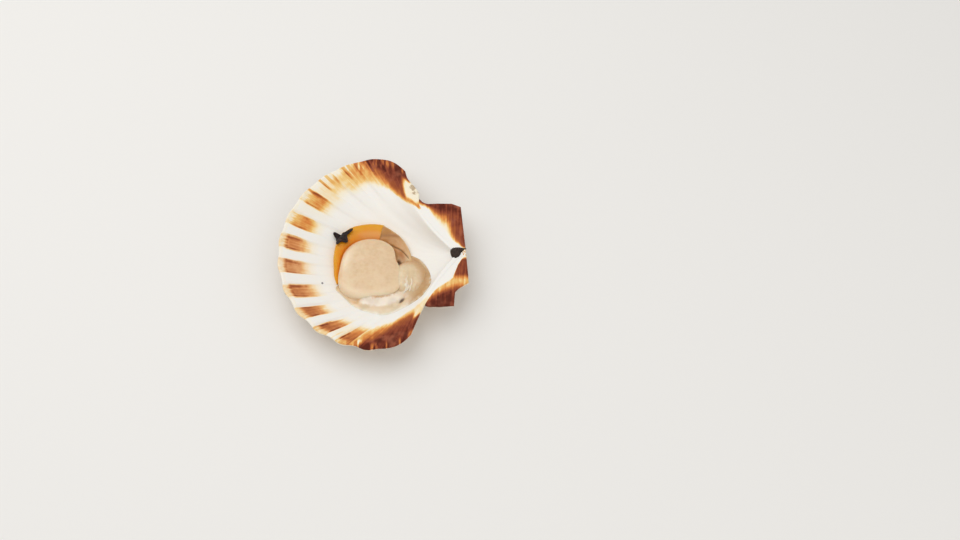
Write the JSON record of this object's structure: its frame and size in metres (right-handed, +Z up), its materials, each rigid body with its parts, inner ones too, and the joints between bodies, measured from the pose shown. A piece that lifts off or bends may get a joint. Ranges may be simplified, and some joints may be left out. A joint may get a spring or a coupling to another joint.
{
  "type": "scallop in half shell",
  "caption": "Raw king scallop in its cupped half shell: ribbed fan-shaped shell with two ears, hinge cushion, muscle meat, roe and frill.",
  "frame": {"origin": "middle of the bounding box, on the surface that the shell rests on", "axes": "+X towards the hinge and the ears, +Y across the shell towards the roe, +Z up, out of the bowl"},
  "size_m": [0.0972, 0.1113, 0.0175],
  "materials": {
    "shell": "smooth porcelain-white inside with orange-brown rib patches and dark maroon shoulders and ears",
    "hinge_cushion": "near-black brown, slightly glossy",
    "big_muscle": "moist, pinkish beige",
    "small_muscle": "wet, translucent cream",
    "roe": "wet, golden orange",
    "gut": "wet, tan",
    "mantle": "wet, translucent cream",
    "skin_scrap": "dark brown, dried and stiff"
  },
  "bodies": {
    "root": {"shell": "shell", "hinge_cushion": "hinge_cushion", "big_muscle": "big_muscle", "small_muscle": "small_muscle", "roe": "roe", "gut": "gut", "mantle": "mantle", "skin_scrap": "skin_scrap"}
  },
  "joints": []
}
